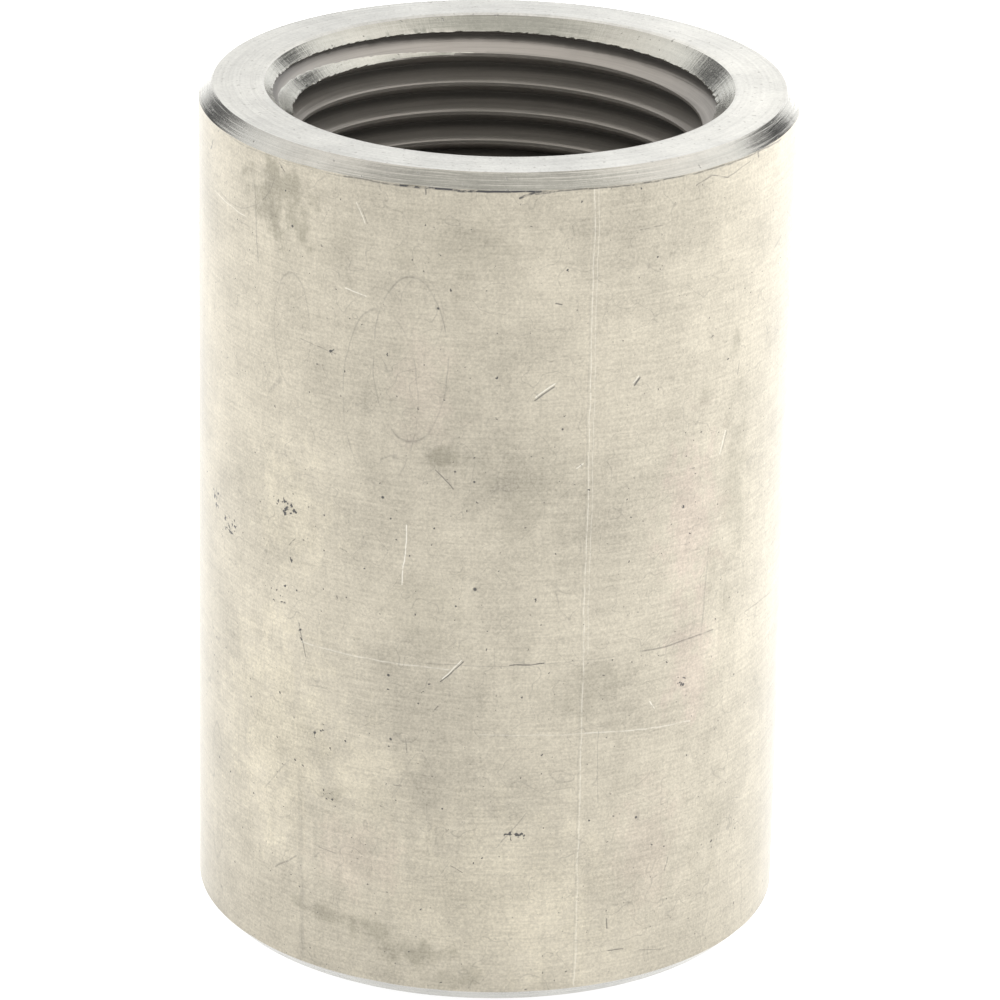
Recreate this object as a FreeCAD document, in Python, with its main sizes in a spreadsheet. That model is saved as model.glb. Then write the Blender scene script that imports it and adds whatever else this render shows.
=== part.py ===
import FreeCAD, Part
import math
import os
import Sketcher

# A full pipe coupling, turned from one piece of round bar. It is a thick sleeve with
# a taper pipe thread cut into each end. It stands on its lower face, with its axis
# along +Z and its origin at the centre of that face.

# Driving sizes in millimetres and degrees. Depths are measured from an end face.
SIZES = {
    "outer_diameter": 35.0,
    "coupling_length": 51.0,
    "outer_chamfer": 0.8,
    "drill_diameter": 23.3,
    "ream_diameter": 23.94,     # the crests of the thread lie on this cylinder
    "ream_depth": 17.4,
    "mouth_diameter": 27.4,     # the 45 degree countersink, at the end face
    "edge_break": 0.25,         # width of the shallow ring between face and countersink
    "edge_break_depth": 0.08,
    "pitch": 1.8143,            # 14 threads to the inch
    "flank_angle": 30.0,        # each flank, from square to the axis
    "taper_angle": 1.7899,      # 1 in 16 on the diameter, so half of that each side
    "root_diameter": 26.5,      # bottom of the thread groove, at the end face
    "root_flat": 0.08,
    "tooth_height": 1.42,       # reaches just inside the crests
    "tap_depth": 16.098,        # middle of the tap's first tooth, on the +X side
    "tap_length": 18.6,         # runs on past the end face, to leave the mouth clean
    "lead_depth": 16.9,         # the tap's lead cone ends here, just inside the crests
    "lead_length": 7.2,         # four teeth, shallower one after another
    "lead_inset": 0.15,
}

STEEL_DENSITY = 8.0e-6          # kilograms per cubic millimetre
RELIEF = 3.0                    # how far a cutting outline stands clear of the work
PARTS_FOLDER = "parts"

doc = FreeCAD.newDocument("pipe_coupling")

sheet = doc.addObject("Spreadsheet::Sheet", "sizes")
for row, (alias, value) in enumerate(SIZES.items(), start=1):
    sheet.set(f"A{row}", alias)
    sheet.set(f"B{row}", str(value))
    sheet.setAlias(f"B{row}", alias)
doc.recompute()


def of_sheet(formula):
    """Write each size's name in a formula as a cell of the sheet."""
    words = formula.split()
    return " ".join(f"sizes.{word}" if word in SIZES else word for word in words)


def draw_outline(sketch, corners):
    """Draw a closed outline in a sketch that lies in the XZ plane.

    Each corner is a pair of formulas, for its radius and its height. The corners are
    drawn on a circle first, and the constraints then put them in their places.
    """
    count = len(corners)
    turns = [2 * math.pi * number / count for number in range(count)]
    points = [FreeCAD.Vector(math.cos(turn), math.sin(turn), 0) for turn in turns]
    for number, start in enumerate(points):
        sketch.addGeometry(Part.LineSegment(start, points[(number + 1) % count]), False)
    for number in range(count):
        following = (number + 1) % count
        sketch.addConstraint(Sketcher.Constraint("Coincident", number, 2, following, 1))
    for number, (radius, height) in enumerate(corners):
        for kind, formula in (("DistanceX", radius), ("DistanceY", height)):
            place = sketch.addConstraint(
                Sketcher.Constraint(kind, -1, 1, number, 1, 1.0))
            label = f"corner_{number}_{kind}"
            sketch.renameConstraint(place, label)
            sketch.setExpression(f"Constraints.{label}", of_sheet(formula))
    doc.recompute()


def make_sleeve():
    """Turn the sleeve to its outer and inner outline, before any thread is cut."""
    body = doc.addObject("PartDesign::Body", "sleeve")
    sketch = body.newObject("Sketcher::SketchObject", "sleeve_outline")
    plane = next(p for p in body.Origin.OriginFeatures if p.Role == "XZ_Plane")
    sketch.AttachmentSupport = [(plane, "")]
    sketch.MapMode = "FlatFace"

    outer = "outer_diameter / 2"
    mouth = "mouth_diameter / 2"
    reamed = "ream_diameter / 2"
    drilled = "drill_diameter / 2"
    end = [
        (outer, "outer_chamfer"),
        (f"{outer} - outer_chamfer", "0"),
        (f"{mouth} + edge_break", "0"),
        (mouth, "edge_break_depth"),
        (reamed, f"edge_break_depth + {mouth} - {reamed}"),
        (reamed, "ream_depth"),
        (drilled, f"ream_depth + {reamed} - {drilled}"),
    ]
    other_end = [(radius, f"coupling_length - ( {depth} )") for radius, depth in end]
    draw_outline(sketch, end + other_end[::-1])

    turned = body.newObject("PartDesign::Revolution", "turned_sleeve")
    turned.Profile = sketch
    turned.ReferenceAxis = (sketch, ["V_Axis"])
    turned.Angle = 360
    doc.recompute()
    return body


def make_tap(name):
    """Make a taper tap that cuts downwards from its own origin at an end face.

    Its teeth are one helical ridge that shrinks towards the tip. A lead cone trims
    the last teeth, so the thread fades out at its deep end.
    """
    upright = FreeCAD.Rotation(FreeCAD.Vector(1, 0, 0), 90)
    tip = "( root_diameter / 2 - tap_depth * tan( taper_angle ) )"
    half_base = "( root_flat / 2 + tooth_height * tan( flank_angle ) )"
    tooth = doc.addObject("Sketcher::SketchObject", f"{name}_tooth")
    tooth.Placement = FreeCAD.Placement(FreeCAD.Vector(0, 0, 0), upright)
    draw_outline(tooth, [
        (f"{tip} - tooth_height", f"- tap_depth - {half_base}"),
        (tip, "- tap_depth - root_flat / 2"),
        (tip, "- tap_depth + root_flat / 2"),
        (f"{tip} - tooth_height", f"- tap_depth + {half_base}"),
    ])

    helix = doc.addObject("Part::Helix", f"{name}_helix")
    helix.Style = "New style"
    helix.SegmentLength = 1.0
    helix.setExpression("Pitch", of_sheet("pitch"))
    helix.setExpression("Height", of_sheet("tap_length"))
    helix.setExpression("Radius", of_sheet(tip))
    helix.setExpression("Angle", of_sheet("taper_angle"))
    helix.setExpression("Placement.Base.z", of_sheet("- tap_depth"))
    doc.recompute()

    ridge = doc.addObject("Part::Sweep", f"{name}_ridge")
    ridge.Sections = [tooth]
    turns = [f"Edge{number + 1}" for number in range(len(helix.Shape.Edges))]
    ridge.Spine = (helix, turns)
    ridge.Solid = True
    ridge.Frenet = True
    doc.recompute()

    cone = doc.addObject("Sketcher::SketchObject", f"{name}_cone")
    cone.Placement = FreeCAD.Placement(FreeCAD.Vector(0, 0, 0), upright)
    cone_start = "lead_length - lead_depth"
    cone_end = "ream_diameter / 2 - lead_inset"
    outside = f"root_diameter / 2 + {RELIEF}"
    draw_outline(cone, [
        (cone_end, "- lead_depth"),
        ("root_diameter / 2", cone_start),
        (outside, cone_start),
        (outside, f"- lead_depth - {RELIEF}"),
        (cone_end, f"- lead_depth - {RELIEF}"),
    ])
    lead = doc.addObject("Part::Revolution", f"{name}_lead")
    lead.Source = cone
    lead.Axis = FreeCAD.Vector(0, 0, 1)
    lead.Angle = 360
    lead.Solid = True

    tap = doc.addObject("Part::Cut", name)
    tap.Base = ridge
    tap.Tool = lead
    doc.recompute()
    return tap


sleeve = make_sleeve()

upper_tap = make_tap("upper_tap")
upper_tap.setExpression("Placement.Base.z", of_sheet("coupling_length"))
lower_tap = make_tap("lower_tap")
half_turn = FreeCAD.Rotation(FreeCAD.Vector(1, 0, 0), 180)
lower_tap.Placement = FreeCAD.Placement(FreeCAD.Vector(0, 0, 0), half_turn)

tapped_sleeve = doc.addObject("Part::Cut", "tapped_sleeve")
tapped_sleeve.Base = sleeve
tapped_sleeve.Tool = upper_tap
coupling = doc.addObject("Part::Cut", "coupling_body")
coupling.Base = tapped_sleeve
coupling.Tool = lower_tap
coupling.Label = "coupling_body"
doc.recompute()

for item in doc.Objects:
    faults = [state for state in item.State if state in ("Invalid", "Error")]
    if faults:
        raise RuntimeError(f"{item.Name} failed: {faults}")

shape = coupling.Shape
if shape.isNull() or not shape.isValid():
    raise RuntimeError("coupling_body has no valid shape")
if len(shape.Solids) != 1:
    raise RuntimeError(f"coupling_body has {len(shape.Solids)} solids, not one")
upper_cut = sleeve.Shape.Volume - tapped_sleeve.Shape.Volume
lower_cut = tapped_sleeve.Shape.Volume - shape.Volume
print(f"threads cut away {upper_cut:.1f} and {lower_cut:.1f} mm3")
print(f"coupling {shape.Volume:.0f} mm3, {shape.Volume * STEEL_DENSITY:.3f} kg")

os.makedirs(PARTS_FOLDER, exist_ok=True)
shape.exportStep(f"{PARTS_FOLDER}/{coupling.Label}.step")
print(f"wrote {coupling.Label}.step")
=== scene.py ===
import bpy
import math
from mathutils import Matrix, Vector, noise


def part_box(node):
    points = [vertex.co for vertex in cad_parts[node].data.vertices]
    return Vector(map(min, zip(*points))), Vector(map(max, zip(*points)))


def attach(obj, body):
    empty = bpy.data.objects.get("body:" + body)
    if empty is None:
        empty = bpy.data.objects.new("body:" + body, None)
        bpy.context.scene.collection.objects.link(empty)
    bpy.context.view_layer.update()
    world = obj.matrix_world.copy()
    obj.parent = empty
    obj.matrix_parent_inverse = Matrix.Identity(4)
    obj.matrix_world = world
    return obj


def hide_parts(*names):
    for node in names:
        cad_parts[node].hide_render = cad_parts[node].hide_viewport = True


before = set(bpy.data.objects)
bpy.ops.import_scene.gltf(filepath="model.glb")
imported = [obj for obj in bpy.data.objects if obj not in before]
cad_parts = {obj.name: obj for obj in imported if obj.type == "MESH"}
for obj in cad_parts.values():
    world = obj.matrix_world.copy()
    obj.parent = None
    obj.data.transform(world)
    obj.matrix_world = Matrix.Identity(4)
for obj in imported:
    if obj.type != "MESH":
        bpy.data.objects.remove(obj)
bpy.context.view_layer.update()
mm = 0.001
degrees = math.degrees(1)    # turns radians into degrees
low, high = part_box("coupling_body")
outerRadius = (high.x - low.x) / 2 / mm
sleeveLength = (high.z - low.z) / mm
print("frame loaded: sleeve", round(outerRadius, 2), "mm radius,", round(sleeveLength, 2), "mm long")


shot = {
    "elevation": 21.61,      # degrees above level
    "roll": 1.10,            # degrees, clockwise as seen from behind the camera
    "distance": 0.33165,     # metres from the middle of the sleeve
    "lens": 199.65,
    "shiftX": 0.0078,
    "shiftY": -0.0104,
}


def aimCamera():
    tilt = math.radians(shot["elevation"])
    roll = math.radians(shot["roll"])
    middle = (low + high) / 2
    back = Vector((0, -math.cos(tilt), math.sin(tilt)))
    level = Vector((1, 0, 0))
    upright = back.cross(level)
    right = level * math.cos(roll) + upright * math.sin(roll)
    up = back.cross(right)
    camera = bpy.data.objects.new("studioCamera", bpy.data.cameras.new("studioCamera"))
    camera.matrix_world = Matrix.Translation(middle + back * shot["distance"]) @ Matrix(
        (right, up, back)).transposed().to_4x4()
    camera.data.lens = shot["lens"]
    camera.data.sensor_width = 36
    camera.data.shift_x = shot["shiftX"]
    camera.data.shift_y = shot["shiftY"]
    camera.data.clip_start = 0.01
    bpy.context.scene.collection.objects.link(camera)
    bpy.context.scene.camera = camera


sleeveShape = {
    "columns": 576,          # around the axis; an even number
    "chamfer": 0.8,
    "mouthRadius": 13.7,     # the countersink where it meets the broken edge
    "lipWidth": 0.25,
    "lipDepth": 0.08,
    "crestRadius": 11.93,    # thread crests at the end face
    "rootRadius": 13.26,     # thread roots at the end face
    "drillRadius": 11.65,
    "pitch": 1.8143,
    "taper": 1 / 32,         # how fast the thread closes in with depth
    "firstRoot": 1.5836,     # depth of the first root on the +X side
    "rootRounding": 0.05,
    "leadStart": 11.5,       # the groove starts to fade out here
    "leadEnd": 17.0,
    "threadZoneEnd": 18.4,
    "ridgeWidth": 0.03,      # the small flat worn on each sharp edge
    "tearDepth": 0.11,       # how far the torn edge at the mouth wanders
    "burrLift": 0.035,
    "lowerTear": 0.3,        # how much of the tear the lower side of a ridge gets
    "nickDepth": 0.12,
    "sharpAngle": 24,        # degrees; corners sharper than this keep a crisp edge
    "fineTurns": 4.4,        # turns from the mouth with close rows
    # rows along the axis: depths on the outside, and offsets from a thread's root
    "upperSide": (46.0, 38.0, 30.0, 23.0, 17.0, 12.0, 8.0, 5.0, 3.0, 1.8, 1.2, 0.95, 0.85),
    "lowerSide": (5.0, 3.0, 1.8, 1.1),
    "closeRows": (-0.65, -0.45, -0.25, -0.06, 0.0, 0.06, 0.25, 0.45, 0.65),
    "openRows": (-0.4, 0.0, 0.4),
}

skins = ("side", "chamfer", "face", "mouth", "thread", "bore")


def countersinkRadius(depth):
    return sleeveShape["mouthRadius"] - (depth - sleeveShape["lipDepth"])


def baseRadius(depth):
    # the countersink, the reamed taper and the drilled middle, before threading
    reamed = sleeveShape["crestRadius"] - sleeveShape["taper"] * depth
    return max(countersinkRadius(depth), reamed, sleeveShape["drillRadius"])


def rootDepth(turn, angle):
    return sleeveShape["firstRoot"] + sleeveShape["pitch"] * (turn - angle / (2 * math.pi))


def grooveRadius(depth, offset):
    # Radius cut by the thread at a depth, so far along the axis from a root's middle.
    shape = sleeveShape
    lead = (depth - shape["leadStart"]) / (shape["leadEnd"] - shape["leadStart"])
    root = shape["rootRadius"] - shape["taper"] * depth
    root -= max(0.0, lead) * (root - shape["drillRadius"] + 0.1)
    rounded = math.hypot(offset, shape["rootRounding"]) - shape["rootRounding"]
    return root - rounded / math.tan(math.radians(30))


def tear(along, seed):
    # Uneven scallops, like metal torn by a tap: from 0 to about 1.
    slow = noise.noise(Vector((along * 0.55, seed, 0.0)))
    scallop = (along * 0.9 + 1.6 * slow) % 1.0
    fine = noise.noise(Vector((along * 3.1, seed + 7.0, 1.0)))
    return max(0.0, 0.65 * scallop + 0.5 * fine + 0.35 * slow)


def crossing(turn, side, angle):
    # Depth at which one flank of a groove meets the surface it was cut into, or None.
    shape = sleeveShape
    middle = rootDepth(turn, angle)

    def gap(offset):
        depth = middle + side * offset
        return grooveRadius(depth, offset) - baseRadius(depth)

    near, far = 0.0, shape["pitch"] / 2
    if gap(near) <= 0 or gap(far) >= 0:
        return None
    for _ in range(24):
        half = (near + far) / 2
        if gap(half) > 0:
            near = half
        else:
            far = half
    return middle + side * near


def mouthColumn(angle, seed, fineOffsets, coarseOffsets):
    # Depth, radius, edge name and skin of one column, from the lip to the plain bore.
    shape = sleeveShape
    pitch = shape["pitch"]
    start, end = shape["lipDepth"], shape["threadZoneEnd"]
    firstTurn = math.floor((start - shape["firstRoot"]) / pitch + angle / (2 * math.pi)) - 1
    turns = range(firstTurn, firstTurn + math.ceil(end / pitch) + 3)
    along = angle * shape["mouthRadius"]
    half = shape["ridgeWidth"] / 2

    edges = []
    for turn in turns:
        middle = rootDepth(turn, angle)
        for side in (-1, 1):
            depth = crossing(turn, side, angle)
            if depth is None or not start + 0.06 < depth < end - 0.06:
                continue
            shift, lift = 0.0, 0.0
            if countersinkRadius(depth) > baseRadius(depth) - 0.02:
                ragged = tear(along, seed + 3.0 * turn + side)
                strength = 1.0 if side < 0 else shape["lowerTear"]
                shift = side * shape["tearDepth"] * strength * (0.45 - ragged)
                lift = shape["burrLift"] * strength * ragged
            ridge = depth + side * half + shift
            wall = (min if side > 0 else max)(ridge, depth) - side * half
            edges.append((ridge, baseRadius(ridge) - lift, (turn, side, 0)))
            edges.append((wall, grooveRadius(wall, abs(wall - middle)), (turn, side, 1)))
    edges.sort()

    rows = list(edges)
    for turn in turns:
        middle = rootDepth(turn, angle)
        offsets = fineOffsets if middle < shape["fineTurns"] * pitch else coarseOffsets
        for offset in offsets:
            depth = middle + offset
            inZone = start + 0.04 < depth < end - 0.04
            if inZone and all(abs(depth - edge[0]) > 0.04 for edge in edges):
                reach = min(abs(offset), pitch - abs(offset))
                radius = max(baseRadius(depth), grooveRadius(depth, reach))
                rows.append((depth, radius, None))
    rows.sort(key=lambda row: row[0])
    rows.insert(0, (start, shape["mouthRadius"], "lip"))
    rows.append((end, shape["drillRadius"], "bore"))

    column = []
    for (depth, radius, name), following in zip(rows, rows[1:] + rows[-1:]):
        between = (depth + following[0]) / 2
        reach = abs((between - rootDepth(0, angle) + pitch / 2) % pitch - pitch / 2)
        cut = grooveRadius(between, reach) > baseRadius(between)
        bare = countersinkRadius(between) > baseRadius(between) - 0.001
        column.append((depth, radius, name, "mouth" if bare and not cut else "thread"))
    return column


def nick(angle, seed):
    # small knocks along the corner where the wall meets the chamfer
    place = Vector((math.cos(angle) * 9, math.sin(angle) * 9, seed))
    return max(0.0, noise.noise(place) - 0.22) * sleeveShape["nickDepth"]


def endColumn(angle, seed, outside, fineOffsets, coarseOffsets):
    # One column over an end: up the outside, over the face, and down to the plain bore.
    shape = sleeveShape
    chamfer, lip = shape["chamfer"], shape["lipDepth"]
    column = [(depth, outerRadius, None, "side") for depth in outside]
    for share in (0.0, 0.03, 0.3, 0.65, 0.97):
        dent = nick(angle, seed) * (1 - share) ** 2
        column.append((chamfer * (1 - share), outerRadius - chamfer * share - dent, None, "chamfer"))
    faceStart = outerRadius - chamfer * 1.01
    faceEnd = shape["mouthRadius"] + shape["lipWidth"]
    for share in (0.0, 0.15, 0.5, 0.85, 0.97, 1.0):
        column.append((0.0, faceStart + (faceEnd - faceStart) * share, None, "face"))
    column.append((lip * 0.5, shape["mouthRadius"] + shape["lipWidth"] * 0.5, None, "face"))
    column += mouthColumn(angle, seed, fineOffsets, coarseOffsets)
    column.append((sleeveLength / 2, shape["drillRadius"], None, "bore"))
    return column


def measured(column):
    # Add to each point how far along the column it is, which grows all the way.
    points = []
    travel = 0.0
    last = None
    for depth, radius, name, skin in column:
        if last is not None:
            inBore = last[0] >= sleeveShape["lipDepth"] and radius < sleeveShape["mouthRadius"] + 0.01
            travel += depth - last[0] if inBore else math.dist((depth, radius), last)
        last = (depth, radius)
        points.append((travel, depth, radius, name, skin))
    return points


class SleeveMesh:
    # gathers points and triangles, and laces neighbouring columns together

    def __init__(self):
        self.points, self.triangles, self.materials = [], [], []

    def addPoint(self, x, y, z):
        self.points.append((x * mm, y * mm, z * mm))
        return len(self.points) - 1

    def addTriangle(self, corners, skin, flip):
        self.triangles.append(corners[::-1] if flip else corners)
        self.materials.append(skins.index(skin))

    def laceRun(self, left, right, flip):
        i = j = 0
        while i < len(left) - 1 or j < len(right) - 1:
            leftNext = left[i + 1][0] if i < len(left) - 1 else math.inf
            rightNext = right[j + 1][0] if j < len(right) - 1 else math.inf
            if leftNext <= rightNext:
                self.addTriangle((left[i][1], right[j][1], left[i + 1][1]), left[i][3], flip)
                i += 1
            else:
                self.addTriangle((left[i][1], right[j][1], right[j + 1][1]), right[j][3], flip)
                j += 1

    def lace(self, left, right, flip, turnShift):
        # the columns are split at the edges that both have, so each edge stays crisp
        places = {}
        for j, row in enumerate(right):
            name = row[2]
            if isinstance(name, tuple):
                name = (name[0] + turnShift, *name[1:])
            if name is not None:
                places[name] = j
        lastLeft = lastRight = 0
        for i, row in enumerate(left):
            j = places.get(row[2], -1)
            if row[2] is not None and j >= lastRight:
                self.laceRun(left[lastLeft:i + 1], right[lastRight:j + 1], flip)
                lastLeft, lastRight = i, j
        self.laceRun(left[lastLeft:], right[lastRight:], flip)


def buildSleeve():
    shape = sleeveShape
    count = shape["columns"]
    half = shape["pitch"] / 2
    mesh = SleeveMesh()
    upper, lower = [], []
    for index in range(count):
        angle = 2 * math.pi * index / count
        rows = endColumn(angle, 11.0, shape["upperSide"], shape["closeRows"] + (half,),
                         shape["openRows"] + (half,))
        column = []
        for travel, depth, radius, name, skin in measured(rows):
            point = mesh.addPoint(radius * math.cos(angle), radius * math.sin(angle),
                                  sleeveLength - depth)
            column.append((travel, point, name, skin))
        upper.append(column)
    for index in range(0, count, 2):
        angle = 2 * math.pi * index / count
        rows = endColumn(-angle, 53.0, shape["lowerSide"], shape["openRows"] + (half,),
                         shape["openRows"] + (half,))
        column = []
        for travel, depth, radius, name, skin in measured(rows)[1:-1]:
            point = mesh.addPoint(radius * math.cos(angle), radius * math.sin(angle), depth)
            column.append((travel, point, name, skin))
        lower.append(column)

    for index in range(count):
        following = (index + 1) % count
        mesh.lace(upper[index], upper[following], False, 0 if following else 1)
    for index in range(0, count, 2):
        between, following = upper[index + 1], upper[(index + 2) % count]
        left, right = lower[index // 2], lower[(index // 2 + 1) % len(lower)]
        mesh.lace(left, right, True, 0 if index + 2 < count else -1)
        # the seams where the close columns of the upper end meet the open ones below
        for end, skin, flip in ((0, "side", True), (-1, "bore", False)):
            first, middle, last = upper[index][end][1], between[end][1], following[end][1]
            near, far = left[end][1], right[end][1]
            for corners in ((first, middle, near), (middle, far, near), (middle, last, far)):
                mesh.addTriangle(corners, skin, flip)

    data = bpy.data.meshes.new("couplingSleeve")
    data.from_pydata(mesh.points, [], mesh.triangles)
    data.polygons.foreach_set("material_index", mesh.materials)
    data.polygons.foreach_set("use_smooth", [True] * len(mesh.triangles))
    data.update()
    data.set_sharp_from_angle(angle=math.radians(shape["sharpAngle"]))
    sleeve = bpy.data.objects.new("couplingSleeve", data)
    bpy.context.scene.collection.objects.link(sleeve)
    return sleeve


class NodeSheet:
    # writes a node tree: a number sets a socket, another node's output is linked to it

    def __init__(self, tree):
        self.tree = tree

    def feed(self, socket, value):
        if isinstance(value, bpy.types.NodeSocket):
            self.tree.links.new(value, socket)
        elif value is not None:
            socket.default_value = (*value, 1) if socket.type == "RGBA" else value

    def add(self, kind, *values, output=0, **settings):
        node = self.tree.nodes.new("ShaderNode" + kind)
        for name, setting in settings.items():
            setattr(node, name, setting)
        for socket, value in zip(node.inputs, values):
            self.feed(socket, value)
        return node.outputs[output]

    def math(self, operation, *values):
        return self.add("Math", *values, operation=operation)

    def times(self, *values):
        total = values[0]
        for value in values[1:]:
            total = self.math("MULTIPLY", total, value)
        return total

    def plus(self, *values):
        total = values[0]
        for value in values[1:]:
            total = self.math("ADD", total, value)
        return total

    def strongest(self, values):
        # each value is made just before it is used, which keeps large shaders small
        total = None
        for value in values:
            total = value if total is None else self.math("MAXIMUM", total, value)
        return total

    def soften(self, value, low, high, toLow=0.0, toHigh=1.0):
        return self.add("MapRange", value, low, high, toLow, toHigh, interpolation_type="SMOOTHSTEP")

    def mix(self, factor, first, second, blend="MIX"):
        node = self.tree.nodes.new("ShaderNodeMix")
        node.data_type, node.blend_type = "RGBA", blend
        for index, value in ((0, factor), (6, first), (7, second)):
            self.feed(node.inputs[index], value)
        return node.outputs[2]

    def noise(self, vector, scale, detail=2.0, roughness=0.5):
        return self.add("TexNoise", vector, None, scale, detail, roughness)

    def stretch(self, vector, factors):
        return self.add("VectorMath", vector, factors, operation="MULTIPLY")

    def use(self, group, result=0, **values):
        node = self.tree.nodes.new("ShaderNodeGroup")
        node.node_tree = group
        for name, value in values.items():
            self.feed(node.inputs[name], value)
        return node.outputs[result]


def startGroup(name, inputs, outputs):
    tree = bpy.data.node_groups.new(name, "ShaderNodeTree")
    for socket, value in inputs.items():
        kind = "NodeSocketFloat" if isinstance(value, float) else "NodeSocketVector"
        tree.interface.new_socket(socket, in_out="INPUT", socket_type=kind).default_value = value
    for socket in outputs:
        tree.interface.new_socket(socket, in_out="OUTPUT", socket_type="NodeSocket" + outputs[socket])
    given = tree.nodes.new("NodeGroupInput").outputs
    result = tree.nodes.new("NodeGroupOutput").inputs
    return NodeSheet(tree), given, result, tree


origin = (0.0, 0.0, 0.0)


def makeWallPlace():
    # place: millimetres around the sleeve from its front, up from the foot, and out from the axis
    # spin: the same way round without a seam, for patterns; solid: plain millimetres
    sheet, given, result, tree = startGroup(
        "wallPlace", {"position": origin}, {"place": "Vector", "spin": "Vector", "solid": "Vector"})
    split = sheet.add("SeparateXYZ", given["position"]).node.outputs
    turn = sheet.math("ARCTAN2", split[0], sheet.times(split[1], -1.0))
    radius = sheet.math("SQRT", sheet.plus(sheet.times(split[0], split[0]),
                                           sheet.times(split[1], split[1])))
    place = sheet.add("CombineXYZ", sheet.times(turn, outerRadius), sheet.times(split[2], 1 / mm),
                      sheet.times(radius, 1 / mm))
    sheet.feed(result["place"], place)
    plan = sheet.stretch(given["position"], (1.0, 1.0, 0.0))
    sheet.feed(result["spin"], sheet.add("VectorMath", sheet.add("VectorMath", plan, operation="NORMALIZE"),
                                         None, None, outerRadius, operation="SCALE"))
    sheet.feed(result["solid"], sheet.stretch(given["position"], (1 / mm, 1 / mm, 1 / mm)))
    return tree


def makeStrokeMark():
    # a straight scratch: one inside half a width of the line, falling to nothing at its edge
    sheet, given, result, tree = startGroup(
        "strokeMark", {"place": origin, "start": origin, "reach": origin, "halfWidth": 0.05},
        {"mask": "Float"})
    offset = sheet.add("VectorMath", given["place"], given["start"], operation="SUBTRACT")
    along = sheet.add("VectorMath", offset, given["reach"], operation="DOT_PRODUCT", output=1)
    whole = sheet.add("VectorMath", given["reach"], given["reach"], operation="DOT_PRODUCT", output=1)
    share = sheet.add("Clamp", sheet.math("DIVIDE", along, whole), 0.0, 1.0)
    nearest = sheet.add("VectorMath", given["reach"], None, None, share, operation="SCALE")
    away = sheet.add("VectorMath", offset, nearest, operation="DISTANCE", output=1)
    mask = sheet.soften(away, given["halfWidth"], sheet.times(given["halfWidth"], 0.25))
    sheet.feed(result["mask"], mask)
    return tree


def makeLoopMark():
    # the outline of an oval
    sheet, given, result, tree = startGroup(
        "loopMark", {"place": origin, "centre": origin, "halfSize": (1.0, 1.0, 1.0), "halfWidth": 0.05},
        {"mask": "Float"})
    offset = sheet.add("VectorMath", given["place"], given["centre"], operation="SUBTRACT")
    relative = sheet.add("VectorMath", offset, given["halfSize"], operation="DIVIDE")
    radius = sheet.add("VectorMath", relative, operation="LENGTH", output=1)
    away = sheet.math("ABSOLUTE", sheet.plus(radius, -1.0))
    width = sheet.add("SeparateXYZ", given["halfSize"]).node.outputs[0]
    mask = sheet.soften(sheet.times(away, width), given["halfWidth"], 0.0)
    sheet.feed(result["mask"], mask)
    return tree


def makePatchMark():
    # a soft stain with a ragged rim
    sheet, given, result, tree = startGroup(
        "patchMark", {"place": origin, "centre": origin, "halfSize": (1.0, 1.0, 1.0), "rim": 0.0},
        {"mask": "Float"})
    offset = sheet.add("VectorMath", given["place"], given["centre"], operation="SUBTRACT")
    relative = sheet.add("VectorMath", offset, given["halfSize"], operation="DIVIDE")
    away = sheet.add("VectorMath", relative, operation="LENGTH", output=1)
    mask = sheet.soften(sheet.plus(away, given["rim"]), 1.0, 0.1)
    sheet.feed(result["mask"], mask)
    return tree


def makeFineLines():
    # long fine lines, about minus one to one; around, up and out say how close they are each way
    sheet, given, result, tree = startGroup(
        "fineLines", {"place": origin, "spin": origin, "around": 1.0, "up": 1.0, "out": 1.0, "seed": 0.0},
        {"value": "Float"})
    split = sheet.add("SeparateXYZ", given["place"]).node.outputs
    depth = sheet.plus(sheet.times(split[1], given["up"]), sheet.times(split[2], given["out"]), given["seed"])
    turned = sheet.add("VectorMath", given["spin"], None, None, given["around"], operation="SCALE")
    drawn = sheet.add("VectorMath", turned, sheet.add("CombineXYZ", 0.0, 0.0, depth), operation="ADD")
    value = sheet.times(sheet.plus(sheet.noise(drawn, 1.0, 3.0, 0.6), -0.5), 4.0)
    sheet.feed(result["value"], value)
    return tree


def makeSpecks():
    # small pits: more of them, and larger, where crowded is near one
    sheet, given, result, tree = startGroup(
        "specks", {"place": origin, "size": 0.2, "crowded": 0.0, "rarity": 0.72}, {"mask": "Float"})
    drawn = sheet.add("VectorMath", given["place"], None, None, sheet.math("DIVIDE", 1.0, given["size"]),
                      operation="SCALE")
    limit = sheet.plus(given["rarity"], sheet.times(given["crowded"], -0.2))
    grain = sheet.noise(drawn, 1.0, 2.0, 0.5)
    sheet.feed(result["mask"], sheet.soften(grain, limit, sheet.plus(limit, 0.05)))
    return tree


wallPlace, strokeMark, loopMark = makeWallPlace(), makeStrokeMark(), makeLoopMark()
patchMark, fineLines, specks = makePatchMark(), makeFineLines(), makeSpecks()
print("shared node groups made:", len(bpy.data.node_groups))


def startMaterial(name):
    material = bpy.data.materials.new(name)
    material.use_nodes = True
    sheet = NodeSheet(material.node_tree)
    shader = material.node_tree.nodes["Principled BSDF"]
    found = sheet.use(wallPlace, position=sheet.add("TexCoord", output=3)).node.outputs
    return material, sheet, shader, found["place"], found["spin"], found["solid"]


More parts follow.
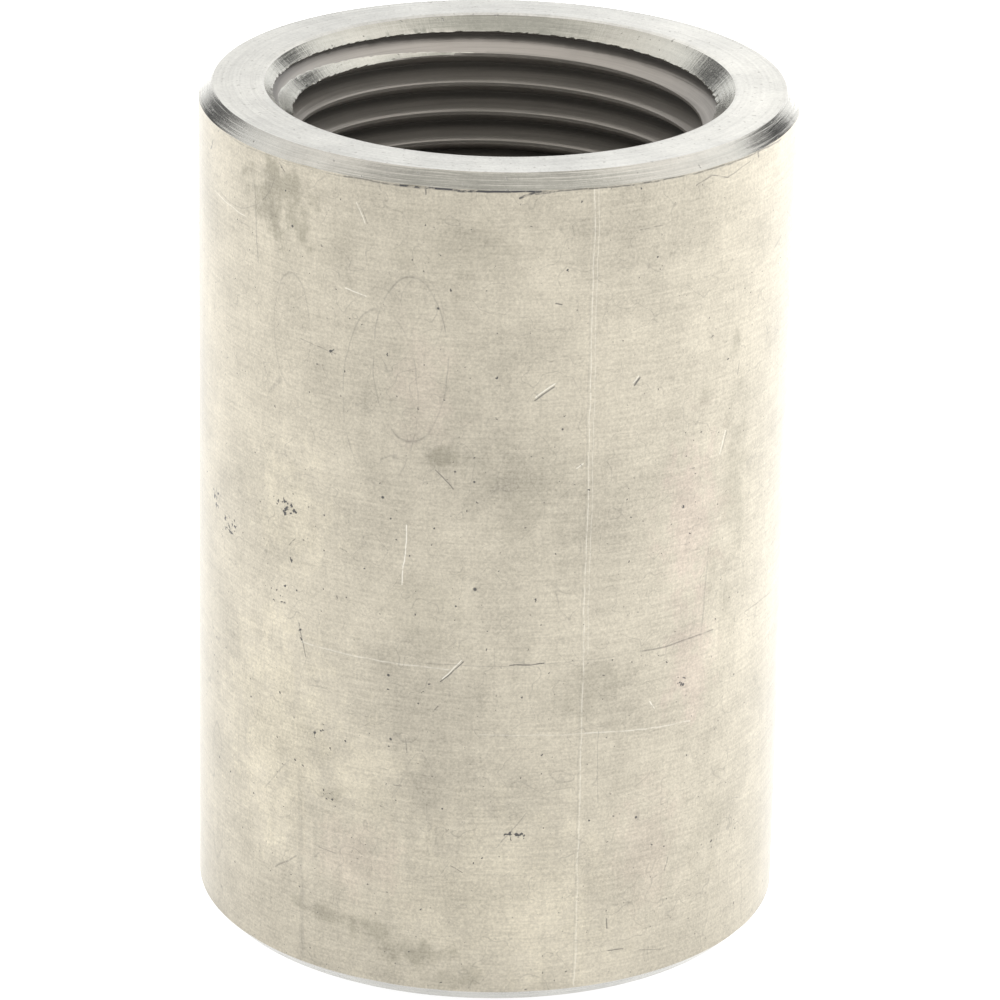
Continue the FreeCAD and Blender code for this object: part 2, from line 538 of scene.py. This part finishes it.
def finishMaterial(sheet, shader, look, colour, roughness, height, distance):
    shader.inputs["Metallic"].default_value = look["metallic"]
    shader.inputs["Anisotropic"].default_value = look["anisotropy"]
    shader.inputs["Sheen Weight"].default_value = look["sheen"]
    shader.inputs["Sheen Roughness"].default_value = look["sheenRoughness"]
    sheet.feed(shader.inputs["Base Color"], colour)
    sheet.feed(shader.inputs["Roughness"], roughness)
    sheet.feed(shader.inputs["Tangent"], sheet.add("Tangent", direction_type="RADIAL", axis="Z"))
    bump = sheet.tree.nodes.new("ShaderNodeBump")
    bump.inputs["Distance"].default_value = distance
    sheet.feed(bump.inputs["Height"], height)
    sheet.feed(shader.inputs["Normal"], bump.outputs[0])


# the outside wall; marks are (around, height, ...) in millimetres from the front and the foot
sideLook = {
    "colour": (0.545, 0.505, 0.42), "rosyColour": (0.56, 0.49, 0.42), "greyColour": (0.365, 0.34, 0.275),
    "dirtAndShadowColour": (0.085, 0.085, 0.09), "paleColour": (0.90, 0.87, 0.79), "wornAndLitColour": (0.65, 0.60, 0.485),
    "roughness": 0.42, "anisotropy": 0.0, "metallic": 1.0,
    "mottling": 0.45, "lines": 0.10, "grain": 0.20, "hairs": 0.22, "pits": 0.92, "spots": 0.9,
    "sheen": 0.7, "sheenRoughness": 0.25, "pitSize": 0.30, "pitRarity": 0.705,
    "bumpDepth": 0.000012,   # metres
}
sideMarks = {
    # start around, start height, end around, end height, half width, strength
    "dark": (
        (2.3, 37.75, 3.4, 38.55, 0.06, 0.7), (8.2, 38.15, 8.55, 38.6, 0.09, 0.85),
        (3.4, 43.5, 3.75, 43.4, 0.06, 0.7), (8.3, 47.45, 9.7, 47.5, 0.06, 0.45),
        (16.1, 37.1, 16.3, 37.9, 0.06, 0.4), (14.8, 32.6, 15.3, 33.9, 0.05, 0.45),
        (12.2, 32.3, 12.6, 32.3, 0.06, 0.5), (20.1, 43.6, 21.2, 44.0, 0.12, 0.3),
        (-7.95, 48.7, -7.45, 47.6, 0.04, 0.35), (-11.9, 39.9, -9.4, 39.5, 0.05, 0.4),
        (-14.3, 36.1, -13.4, 37.0, 0.2, 0.22), (-3.2, 33.4, -2.2, 32.4, 0.05, 0.6),
        (-12.7, 27.0, -12.2, 27.6, 0.05, 0.5), (-9.0, 27.8, -8.6, 27.7, 0.07, 0.5),
        (-15.8, 48.3, -15.5, 43.5, 0.07, 0.3), (-2.75, 20.45, -1.5, 21.75, 0.05, 0.75),
        (-3.2, 18.55, -2.9, 18.9, 0.05, 0.6), (-11.9, 22.4, -11.4, 20.4, 0.07, 0.5),
        (-4.8, 16.7, -4.65, 15.8, 0.05, 0.4), (-11.8, 13.0, -11.5, 1.2, 0.28, 0.16),
        (-11.6, 7.0, -11.5, 1.0, 0.06, 0.25), (-13.7, 6.2, -12.0, 7.5, 0.08, 0.35),
        (-1.95, 8.9, -1.3, 8.5, 0.05, 0.6), (-10.5, 8.6, -9.2, 8.5, 0.06, 0.35),
        (-5.4, 13.6, -5.0, 13.6, 0.06, 0.45), (-14.7, 11.0, -12.6, 13.5, 0.06, 0.25),
        (1.2, 21.65, 3.2, 21.75, 0.055, 0.85), (9.1, 21.65, 14.6, 21.65, 0.08, 0.45),
        (17.9, 21.8, 21.6, 21.6, 0.06, 0.3), (-4.0, 21.5, 1.2, 21.6, 0.05, 0.25),
        (3.2, 21.7, 9.1, 21.65, 0.05, 0.2), (7.4, 2.95, 8.5, 2.75, 0.05, 0.65),
        (9.7, 2.5, 11.2, 2.15, 0.05, 0.35), (7.4, 5.0, 7.4, 4.4, 0.07, 0.6),
        (11.3, 7.2, 11.55, 8.0, 0.05, 0.5), (5.36, 50.2, 5.36, 0.9, 0.04, 0.16),
        (6.55, 17.1, 6.6, 12.6, 0.05, 0.25), (18.6, 5.4, 18.9, 1.3, 0.06, 0.35),
        (-21.5, 48.5, -21.1, 49.1, 0.06, 0.8), (0.6, 10.1, 2.4, 12.4, 0.05, 0.3),
        # the lines at about 50.1 mm high, just under the chamfer, are a painted shadow of a small burr along
        # the edge
        (14.0, 27.0, 13.6, 21.6, 0.1, 0.22), (-5.5, 50.13, 2.4, 50.13, 0.1, 1.0),
        (2.4, 50.13, 10.4, 50.13, 0.07, 0.7), (-9.0, 50.1, -5.5, 50.12, 0.07, 0.6),
        (1.2, 49.75, 2.1, 50.1, 0.09, 0.9), (2.1, 50.0, 3.2, 50.1, 0.07, 0.6),
        (-4.05, 50.35, -4.0, 49.75, 0.06, 0.7), (10.4, 50.12, 20.5, 50.12, 0.07, 0.6),
        (-20.0, 50.1, -4.0, 50.12, 0.05, 0.25), (12.0, 49.4, 13.2, 49.7, 0.06, 0.5),
        (13.2, 49.7, 14.6, 49.35, 0.06, 0.55), (14.6, 49.4, 16.6, 49.8, 0.05, 0.45),
        (17.3, 50.25, 17.5, 49.8, 0.1, 0.8), (-13.6, 49.9, -13.2, 49.5, 0.06, 0.5),
    ),
    "pale": (
        (2.35, 37.95, 3.45, 38.75, 0.05, 0.8), (4.8, 33.6, 5.15, 33.85, 0.05, 0.6),
        (14.65, 32.6, 15.15, 33.95, 0.05, 0.5), (-8.8, 43.6, -7.5, 43.3, 0.05, 0.6),
        (-8.1, 48.7, -7.6, 47.6, 0.05, 0.5), (-4.85, 29.9, -5.1, 26.2, 0.05, 0.8),
        (-2.65, 20.65, -1.6, 21.85, 0.05, 0.7), (-11.7, 21.3, -2.3, 21.25, 0.06, 0.35),
        (5.5, 50.2, 5.5, 0.9, 0.05, 0.4), (5.75, 50.2, 5.75, 22.0, 0.04, 0.3),
        (5.7, 17.1, 12.9, 16.4, 0.06, 0.4), (-0.5, 17.3, 5.7, 17.1, 0.05, 0.25),
        (-20.7, 46.2, -16.6, 45.9, 0.05, 0.4), (9.85, 18.4, 10.2, 17.9, 0.05, 0.7),
        (8.15, 38.3, 8.45, 38.7, 0.06, 0.5),
    ),
    # centre around, centre height, half width, half height, line width, strength
    "loops": (
        (-4.8, 39.9, 2.2, 4.9, 0.06, 0.32), (-6.6, 37.4, 2.3, 5.3, 0.06, 0.24),
        (-12.6, 40.2, 1.4, 3.4, 0.06, 0.22), (-18.2, 49.4, 4.2, 3.2, 0.08, 0.25),
        (-20.4, 8.6, 1.0, 4.4, 0.05, 0.25), (-4.2, 42.6, 1.3, 2.2, 0.05, 0.16),
    ),
    # centre around, centre height, half width, half height, strength
    "smears": (
        (-13.4, 47.6, 3.8, 3.4, 0.85), (-9.5, 45.8, 3.2, 2.0, 0.25), (-2.6, 34.2, 1.8, 0.9, 0.85),
        (-10.2, 4.4, 2.2, 0.7, 0.55), (-6.6, 4.0, 2.4, 1.1, 0.65), (-4.2, 3.0, 3.0, 1.3, 0.75),
        (-1.8, 1.6, 2.2, 1.0, 0.5), (15.9, 39.3, 0.7, 1.5, 0.5), (13.3, 36.8, 0.8, 0.9, 0.45),
        (16.4, 32.5, 0.8, 2.6, 0.35), (14.4, 26.0, 0.8, 2.4, 0.3), (-3.9, 24.5, 4.0, 3.4, 0.3),
        (-9.2, 12.2, 1.2, 0.8, 0.5), (2.0, 32.0, 4.0, 5.0, 0.25), (-2.0, 46.5, 5.0, 3.0, 0.3),
        (6.0, 19.5, 3.4, 2.6, 0.3), (-13.0, 44.5, 4.0, 1.6, 0.2), (15.0, 10.0, 2.4, 5.0, 0.22),
        (16.2, 30.5, 2.0, 6.5, 0.45), (15.8, 22.5, 1.2, 2.6, 0.3),
    ),
    "rosy": (
        (12.6, 29.5, 3.2, 6.5, 0.8), (13.0, 20.0, 2.6, 5.0, 0.75), (-4.0, 38.0, 2.6, 5.0, 0.35),
        (10.0, 9.0, 3.0, 5.0, 0.4), (-8.0, 8.5, 4.0, 3.5, 0.4),
    ),
    # worn patches; the wide one low on the front is painted light, making the wall lighter towards the foot
    "wornAndLit": (
        (-13.5, 15.0, 6.0, 9.0, 0.75), (-12.5, 29.0, 4.0, 5.0, 0.6), (-7.5, 13.0, 4.0, 5.0, 0.5),
        (0.0, 7.0, 13.0, 7.5, 0.4),
    ),
    "pitted": (
        (-13.0, 29.2, 1.1, 0.9, 1.0), (-11.2, 29.9, 0.5, 0.4, 0.9), (-18.6, 26.3, 1.5, 1.2, 1.0),
        (-20.6, 27.2, 0.9, 0.8, 1.0), (-19.6, 24.8, 0.5, 0.9, 0.9), (-12.6, 26.2, 0.5, 0.7, 0.9),
        (-11.7, 21.4, 0.3, 1.4, 0.9), (1.7, 11.0, 1.2, 0.5, 1.0), (-9.4, 12.1, 1.2, 0.6, 0.7),
        (-9.7, 39.6, 0.6, 0.3, 0.9), (-13.5, 23.8, 1.6, 1.0, 0.6), (12.3, 19.0, 0.5, 1.0, 0.6),
        (-10.2, 15.9, 1.2, 1.8, 0.5),
    ),
    # around, height, half size
    "spots": (
        (-3.2, 43.1, 0.11), (-12.6, 46.4, 0.12), (-13.1, 48.4, 0.08), (-6.3, 31.4, 0.12),
        (-10.1, 29.5, 0.08), (-5.8, 30.2, 0.08), (-0.9, 26.3, 0.16), (-12.1, 24.4, 0.09),
        (-5.9, 20.5, 0.12), (-5.7, 16.5, 0.11), (9.2, 11.2, 0.12), (12.3, 18.9, 0.15), (-1.9, 25.2, 0.08),
        (3.9, 36.0, 0.09), (9.5, 45.6, 0.08), (-2.1, 33.4, 0.08), (-1.0, 32.9, 0.09),
    ),
}


def makeSideSteel():
    look, marks = sideLook, sideMarks
    material, sheet, shader, place, spin, solid = startMaterial("sideSteel")
    wobble = sheet.add("TexNoise", place, None, 0.5, 2.0, 0.5, output=1)
    wobble = sheet.add("VectorMath", wobble, (0.5, 0.5, 0.5), operation="SUBTRACT")
    flat = sheet.stretch(sheet.add("VectorMath", place, sheet.stretch(wobble, (0.3, 0.3, 0.0)),
                                   operation="ADD"), (1.0, 1.0, 0.0))

    def strokes(listed):
        return sheet.strongest(sheet.times(sheet.use(
            strokeMark, place=flat, start=(mark[0], mark[1], 0.0),
            reach=(mark[2] - mark[0], mark[3] - mark[1], 0.0), halfWidth=mark[4]), mark[5])
            for mark in listed)

    def patches(listed, rim):
        return sheet.strongest(sheet.times(sheet.use(
            patchMark, place=flat, centre=(mark[0], mark[1], 0.0), halfSize=(mark[2], mark[3], 1.0),
            rim=rim), mark[4]) for mark in listed)

    broken = sheet.soften(sheet.noise(place, 2.2, 3.0, 0.7), 0.36, 0.52, 0.35, 1.0)
    dark, pale = strokes(marks["dark"]), strokes(marks["pale"])
    loops = sheet.strongest(sheet.times(sheet.use(
        loopMark, place=flat, centre=(mark[0], mark[1], 0.0), halfSize=(mark[2], mark[3], 1.0),
        halfWidth=mark[4]), mark[5]) for mark in marks["loops"])
    patchy = sheet.soften(sheet.noise(place, 0.45, 3.0, 0.6), 0.34, 0.56)
    ragged = sheet.noise(sheet.stretch(place, (1.0, 0.7, 1.0)), 0.8, 6.0, 0.65)
    rim = sheet.times(sheet.plus(ragged, -0.5), 3.4)
    smears = patches(marks["smears"], rim)
    rosy = patches(marks["rosy"], rim)
    wornAndLit = patches(marks["wornAndLit"], rim)
    crowded = patches(marks["pitted"], rim)
    pits = sheet.use(specks, place=flat, size=look["pitSize"], crowded=crowded, rarity=look["pitRarity"])
    hairs = sheet.math("ABSOLUTE", sheet.plus(sheet.noise(solid, 0.42, 1.5, 0.5), -0.5))
    hairs = sheet.times(sheet.soften(hairs, 0.006, 0.001), patchy, look["hairs"])
    spots = sheet.strongest(sheet.soften(sheet.add(
        "VectorMath", flat, (mark[0], mark[1], 0.0), operation="DISTANCE", output=1), mark[2], mark[2] * 0.4)
        for mark in marks["spots"])

    # rolled and handled stainless steel: cloudy, with fine lines around and fainter ones along
    clouds = sheet.times(sheet.plus(sheet.noise(solid, 0.16, 6.0, 0.68), -0.5), 2.0)
    around = sheet.use(fineLines, place=place, spin=spin, around=0.4, up=7.0, out=0.0, seed=3.0)
    along = sheet.use(fineLines, place=place, spin=spin, around=2.6, up=0.12, out=0.0, seed=11.0)
    grain = sheet.times(sheet.plus(sheet.noise(solid, 6.5, 2.0, 0.8), -0.5), 4.0)
    tone = sheet.plus(1.0, sheet.times(clouds, look["mottling"]), sheet.times(around, look["lines"]),
                      sheet.times(along, look["lines"] * 0.4), sheet.times(grain, look["grain"]))
    # worn patches, and painted light low on the front of the wall
    colour = sheet.mix(wornAndLit, look["colour"], look["wornAndLitColour"])
    colour = sheet.mix(rosy, colour, look["rosyColour"])
    colour = sheet.mix(smears, colour, look["greyColour"])
    shade = sheet.add("CombineXYZ", tone, tone, tone)
    colour = sheet.mix(1.0, colour, shade, blend="MULTIPLY")
    pale, dark = sheet.times(pale, broken), sheet.times(dark, broken)
    colour = sheet.mix(pale, colour, look["paleColour"])
    # stains, scratches and pits, with the painted shadow line under the chamfer
    stainAndShadow = sheet.strongest([dark, sheet.times(loops, patchy), hairs, sheet.times(pits, look["pits"]),
                             sheet.times(spots, look["spots"])])
    colour = sheet.mix(stainAndShadow, colour, look["dirtAndShadowColour"])
    roughness = sheet.plus(look["roughness"], sheet.times(clouds, 0.05), sheet.times(grain, 0.03))
    height = sheet.plus(sheet.times(around, 0.25), sheet.times(grain, 0.2))
    finishMaterial(sheet, shader, look, colour, roughness, height, look["bumpDepth"])
    return material


turnedLooks = {
    # rings says how close the turned lines are around, up and out
    # the right and end tones are painted light and shade: lighter to the right, darker to the front and back
    # (lighter there on the thread)
    "chamfer": {"colour": (0.66, 0.65, 0.61), "darkColour": (0.26, 0.26, 0.26), "roughness": 0.2,
                "anisotropy": 0.55, "metallic": 1.0, "sheen": 0.0, "sheenRoughness": 0.5,
                "rings": (0.12, 6.0, 0.0), "ringTone": 0.12, "ringBump": 1.1, "clouds": 0.22,
                "grain": 0.06, "specks": 0.7, "chatter": 0.0, "rightPaintedLight": 0.05, "endPaintedShading": -0.16},
    "face": {"colour": (0.7, 0.695, 0.66), "darkColour": (0.3, 0.29, 0.27), "roughness": 0.32,
             "anisotropy": 0.65, "metallic": 1.0, "sheen": 0.0, "sheenRoughness": 0.5,
             "rings": (0.1, 0.5, 6.0), "ringTone": 0.1, "ringBump": 0.6, "clouds": 0.3, "grain": 0.12,
             "specks": 0.655, "chatter": 0.0, "rightPaintedLight": 0.08, "endPaintedShading": -0.2},
    "mouth": {"colour": (0.575, 0.57, 0.525), "darkColour": (0.2, 0.2, 0.19), "roughness": 0.2,
              "anisotropy": 0.5, "metallic": 1.0, "sheen": 0.0, "sheenRoughness": 0.5,
              "rings": (0.12, 2.5, 2.5), "ringTone": 0.1, "ringBump": 0.4, "clouds": 0.24,
              "grain": 0.06, "specks": 0.7, "chatter": 0.35, "rightPaintedLight": 0.06, "endPaintedShading": -0.04},
    "thread": {"colour": (0.37, 0.35, 0.328), "darkColour": (0.12, 0.114, 0.108), "roughness": 0.36,
               "anisotropy": 0.4, "metallic": 0.6, "sheen": 0.0, "sheenRoughness": 0.5,
               "rings": (0.08, 4.0, 4.0), "ringTone": 0.16, "ringBump": 0.5, "rootShade": 0.75,
               "clouds": 0.14, "grain": 0.02, "specks": 0.8, "chatter": 0.1, "rightPaintedLight": 0.0,
               "endPaintedShading": 0.1},
    "bore": {"colour": (0.45, 0.43, 0.4), "darkColour": (0.25, 0.24, 0.23), "roughness": 0.4,
             "anisotropy": 0.3, "metallic": 0.8, "sheen": 0.0, "sheenRoughness": 0.5,
             "rings": (0.1, 3.0, 1.0), "ringTone": 0.15, "ringBump": 0.6, "clouds": 0.18, "grain": 0.03,
             "specks": 0.78, "chatter": 0.0, "rightPaintedLight": 0.0, "endPaintedShading": 0.0},
}
turnedBumpDepth = 0.00001    # metres


def shadeRoots(sheet, place):
    # painted shade: one in the bottom of the thread's grooves and zero on its crests
    split = sheet.add("SeparateXYZ", place).node.outputs
    inward = sheet.plus(sleeveLength / 2, sheet.times(
        sheet.math("ABSOLUTE", sheet.plus(split[1], -sleeveLength / 2)), -1.0))
    crest, root = sleeveShape["crestRadius"], sleeveShape["rootRadius"]
    above = sheet.plus(split[2], sheet.times(inward, sleeveShape["taper"]), -crest)
    share = sheet.times(above, 1 / (root - crest))
    return sheet.soften(share, 0.5, 0.95)


def makeTurnedSteel(skin):
    look = turnedLooks[skin]
    material, sheet, shader, place, spin, solid = startMaterial(skin + "Steel")
    across, up, out = look["rings"]
    rings = sheet.use(fineLines, place=place, spin=spin, around=across, up=up, out=out, seed=float(len(skin)))
    chatter = sheet.use(fineLines, place=place, spin=spin, around=3.0, up=0.25, out=0.25, seed=5.0)
    clouds = sheet.times(sheet.plus(sheet.noise(solid, 0.3, 6.0, 0.65), -0.5), 2.0)
    grain = sheet.times(sheet.plus(sheet.noise(solid, 5.0, 3.0, 0.7), -0.5), 4.0)
    pits = sheet.use(specks, place=solid, size=0.3, rarity=look["specks"])
    # painted light and shade: the right side of each turned surface lighter, its front and back darker, by
    # the way it faces
    facing = sheet.add("SeparateXYZ", spin).node.outputs
    paintedLighting = sheet.plus(sheet.times(facing[0], look["rightPaintedLight"] / outerRadius),
                        sheet.times(facing[1], facing[1], look["endPaintedShading"] / outerRadius ** 2))
    tone = sheet.plus(1.0, sheet.times(rings, look["ringTone"]), sheet.times(clouds, look["clouds"]),
                      sheet.times(grain, look["grain"]), sheet.times(chatter, look["chatter"] * 0.06), paintedLighting)
    colour = sheet.mix(1.0, look["colour"], sheet.add("CombineXYZ", tone, tone, tone), blend="MULTIPLY")
    if skin == "thread":
        # painted shade in the bottom of the thread's grooves
        rootShade = sheet.times(shadeRoots(sheet, place), look["rootShade"])
        colour = sheet.mix(rootShade, colour, look["darkColour"])
    colour = sheet.mix(sheet.times(pits, 0.6), colour, look["darkColour"])
    roughness = sheet.plus(look["roughness"], sheet.times(clouds, 0.06), sheet.times(grain, 0.02))
    height = sheet.plus(sheet.times(rings, look["ringBump"]), sheet.times(chatter, look["chatter"]),
                        sheet.times(pits, -1.5), sheet.times(grain, look["grain"] * 2.0))
    finishMaterial(sheet, shader, look, colour, roughness, height, turnedBumpDepth)
    return material


aimCamera()
sleeve = buildSleeve()
print("sleeve mesh:", len(sleeve.data.vertices), "points,", len(sleeve.data.polygons), "triangles")
for skin in skins:
    sleeve.data.materials.append(makeSideSteel() if skin == "side" else makeTurnedSteel(skin))
print("steel laid on:", ", ".join(skins))
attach(sleeve, "root")
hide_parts("coupling_body")


# a bright tent around a glowing table, with two dark gaps behind the coupling
tent = {
    "overhead": (1.25, 1.2, 1.14), "overheadFront": (0.66, 0.65, 0.60), "back": (1.25, 1.25, 1.24),
    "side": (1.1, 1.1, 1.07), "front": (0.9, 0.88, 0.83), "rightGain": 0.14,
    # the two gaps, as degrees to the left (below zero) or right of straight behind
    "gaps": ((-49.0, -29.0), (34.0, 60.0)), "gapColour": (0.06, 0.06, 0.065), "gapTop": 30.0, "gapEdge": 3.0,
    "tableBase": (0.25, 0.25, 0.25), "tableFront": (0.82, 0.90), "tableBack": (1.7, 2.3),
}


def makeTent():
    world = bpy.data.worlds.new("tent")
    bpy.context.scene.world = world
    world.use_nodes = True
    sheet = NodeSheet(world.node_tree)
    background = world.node_tree.nodes["Background"]
    split = sheet.add("SeparateXYZ", sheet.add("TexCoord", output=0)).node.outputs
    bearing = sheet.times(sheet.math("ARCTAN2", split[0], split[1]), degrees)
    aside = sheet.math("ABSOLUTE", bearing)
    above = sheet.times(sheet.math("ARCSINE", split[2]), degrees)
    colour = sheet.mix(sheet.soften(aside, 40.0, 95.0), tent["back"], tent["side"])
    colour = sheet.mix(sheet.soften(aside, 100.0, 160.0), colour, tent["front"])
    ceiling = sheet.mix(sheet.soften(split[1], -0.3, 0.1), tent["overheadFront"], tent["overhead"])
    colour = sheet.mix(sheet.soften(above, 25.0, 62.0), colour, ceiling)
    gain = sheet.plus(1.0, sheet.times(split[0], tent["rightGain"]))
    colour = sheet.mix(1.0, colour, sheet.add("CombineXYZ", gain, gain, gain), blend="MULTIPLY")
    edge = tent["gapEdge"]
    gap = sheet.strongest(sheet.times(
        sheet.soften(bearing, start - edge, start + edge), sheet.soften(bearing, end + edge, end - edge))
        for start, end in tent["gaps"])
    gap = sheet.times(gap, sheet.soften(above, tent["gapTop"] + edge, tent["gapTop"] - edge))
    colour = sheet.mix(gap, colour, tent["gapColour"])
    seen = sheet.add("LightPath", output=0)
    sheet.feed(background.inputs["Color"], sheet.mix(seen, colour, (1.0, 1.0, 1.0)))


def makeTable():
    # a plain pale table that glows, more to the sides and back than in front
    data = bpy.data.meshes.new("table")
    reach = 3.0
    data.from_pydata([(-reach, -reach, 0), (reach, -reach, 0), (reach, reach, 0), (-reach, reach, 0)],
                     [], [(0, 1, 2, 3)])
    table = bpy.data.objects.new("table", data)
    bpy.context.scene.collection.objects.link(table)
    material = bpy.data.materials.new("tableOpal")
    material.use_nodes = True
    sheet = NodeSheet(material.node_tree)
    shader = material.node_tree.nodes["Principled BSDF"]
    shader.inputs["Base Color"].default_value = (*tent["tableBase"], 1)
    shader.inputs["Roughness"].default_value = 0.8
    shader.inputs["Emission Strength"].default_value = 1
    split = sheet.add("SeparateXYZ", sheet.add("TexCoord", output=3)).node.outputs
    turn = sheet.math("ARCTAN2", split[0], sheet.times(split[1], -1.0))
    turn = sheet.times(sheet.math("ABSOLUTE", turn), degrees)
    right = sheet.soften(split[0], -0.06, 0.06)
    (frontLeft, frontRight), (backLeft, backRight) = tent["tableFront"], tent["tableBack"]
    front = sheet.plus(frontLeft, sheet.times(right, frontRight - frontLeft))
    rise = sheet.plus(backLeft - frontLeft, sheet.times(right, backRight - backLeft - frontRight + frontLeft))
    share = sheet.soften(turn, -20.0, 200.0)
    glow = sheet.plus(front, sheet.times(rise, sheet.math("POWER", share, 1.7)))
    sheet.feed(shader.inputs["Emission Color"], sheet.add("CombineXYZ", glow, glow, glow))
    data.materials.append(material)


makeTent()
makeTable()
bpy.context.scene.view_settings.view_transform = "Standard"
print("tent and table set")
